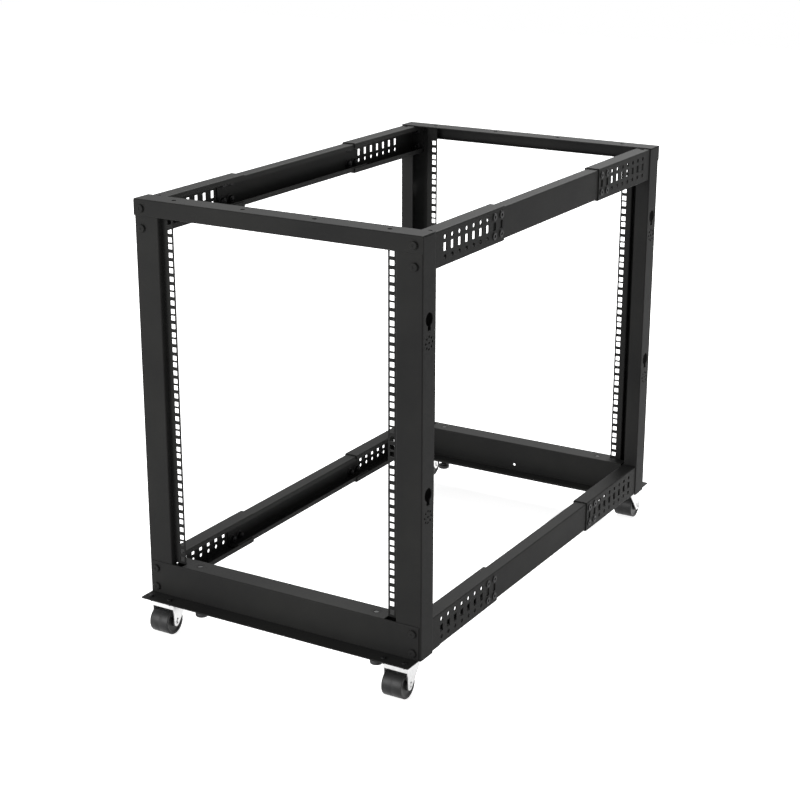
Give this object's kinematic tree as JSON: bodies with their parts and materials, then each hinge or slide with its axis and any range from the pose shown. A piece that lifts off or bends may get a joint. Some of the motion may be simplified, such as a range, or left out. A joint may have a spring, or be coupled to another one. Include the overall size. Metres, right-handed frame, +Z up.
{
  "type": "four post open frame rack",
  "caption": "Open rack frame of folded black sheet: perforated posts and telescoping side rails, capped by cross beams, on small casters with screw-down levelling feet.",
  "frame": {"origin": "on the floor, under the middle of the frame", "axes": "+X to the right seen from the front, +Y to the rear, +Z up; the front faces -Y"},
  "size_m": [0.6, 1.068, 0.842],
  "materials": {
    "black_powder_coat": "fine satin powder coat, black",
    "zinc_plated_steel": "bright zinc plate",
    "foot_steel": "blackened steel stud and pad",
    "wheel_rubber": "smooth dark grey rubber"
  },
  "bodies": {
    "frame": {"bottom_front_beam": "black_powder_coat", "bottom_rear_beam": "black_powder_coat", "front_left_caster_axle": "zinc_plated_steel", "front_left_caster_fork": "zinc_plated_steel", "front_left_foot_nut": "black_powder_coat", "front_left_post": "black_powder_coat", "front_right_caster_axle": "zinc_plated_steel", "front_right_caster_fork": "zinc_plated_steel", "front_right_foot_nut": "black_powder_coat", "front_right_post": "black_powder_coat", "lower_left_rail_front": "black_powder_coat", "lower_left_rail_middle": "black_powder_coat", "lower_left_rail_rear": "black_powder_coat", "lower_right_rail_front": "black_powder_coat", "lower_right_rail_middle": "black_powder_coat", "lower_right_rail_rear": "black_powder_coat", "rear_left_caster_axle": "zinc_plated_steel", "rear_left_caster_fork": "zinc_plated_steel", "rear_left_foot_nut": "black_powder_coat", "rear_left_post": "black_powder_coat", "rear_right_caster_axle": "zinc_plated_steel", "rear_right_caster_fork": "zinc_plated_steel", "rear_right_foot_nut": "black_powder_coat", "rear_right_post": "black_powder_coat", "top_front_beam": "black_powder_coat", "top_rear_beam": "black_powder_coat", "upper_left_rail_front": "black_powder_coat", "upper_left_rail_middle": "black_powder_coat", "upper_left_rail_rear": "black_powder_coat", "upper_right_rail_front": "black_powder_coat", "upper_right_rail_middle": "black_powder_coat", "upper_right_rail_rear": "black_powder_coat"},
    "front_left_wheel": {"front_left_caster_wheel": "wheel_rubber"},
    "front_left_foot": {"front_left_levelling_foot": "foot_steel"},
    "front_right_wheel": {"front_right_caster_wheel": "wheel_rubber"},
    "front_right_foot": {"front_right_levelling_foot": "foot_steel"},
    "rear_left_wheel": {"rear_left_caster_wheel": "wheel_rubber"},
    "rear_left_foot": {"rear_left_levelling_foot": "foot_steel"},
    "rear_right_wheel": {"rear_right_caster_wheel": "wheel_rubber"},
    "rear_right_foot": {"rear_right_levelling_foot": "foot_steel"}
  },
  "joints": [
    {"name": "front_left_wheel_spin", "type": "hinge", "parent": "frame", "child": "front_left_wheel", "pos_m": [-0.2592, -0.5056, 0.025], "axis": [1, 0, 0], "continuous": true},
    {"name": "front_right_wheel_spin", "type": "hinge", "parent": "frame", "child": "front_right_wheel", "pos_m": [0.2592, -0.5056, 0.025], "axis": [1, 0, 0], "continuous": true},
    {"name": "rear_left_wheel_spin", "type": "hinge", "parent": "frame", "child": "rear_left_wheel", "pos_m": [-0.2592, 0.5056, 0.025], "axis": [1, 0, 0], "continuous": true},
    {"name": "rear_right_wheel_spin", "type": "hinge", "parent": "frame", "child": "rear_right_wheel", "pos_m": [0.2592, 0.5056, 0.025], "axis": [1, 0, 0], "continuous": true},
    {"name": "front_left_foot_screw", "type": "slide", "parent": "frame", "child": "front_left_foot", "axis": [0, 0, 1], "range_m": [-0.034, 0]},
    {"name": "front_right_foot_screw", "type": "slide", "parent": "frame", "child": "front_right_foot", "axis": [0, 0, 1], "range_m": [-0.034, 0]},
    {"name": "rear_left_foot_screw", "type": "slide", "parent": "frame", "child": "rear_left_foot", "axis": [0, 0, 1], "range_m": [-0.034, 0]},
    {"name": "rear_right_foot_screw", "type": "slide", "parent": "frame", "child": "rear_right_foot", "axis": [0, 0, 1], "range_m": [-0.034, 0]}
  ]
}
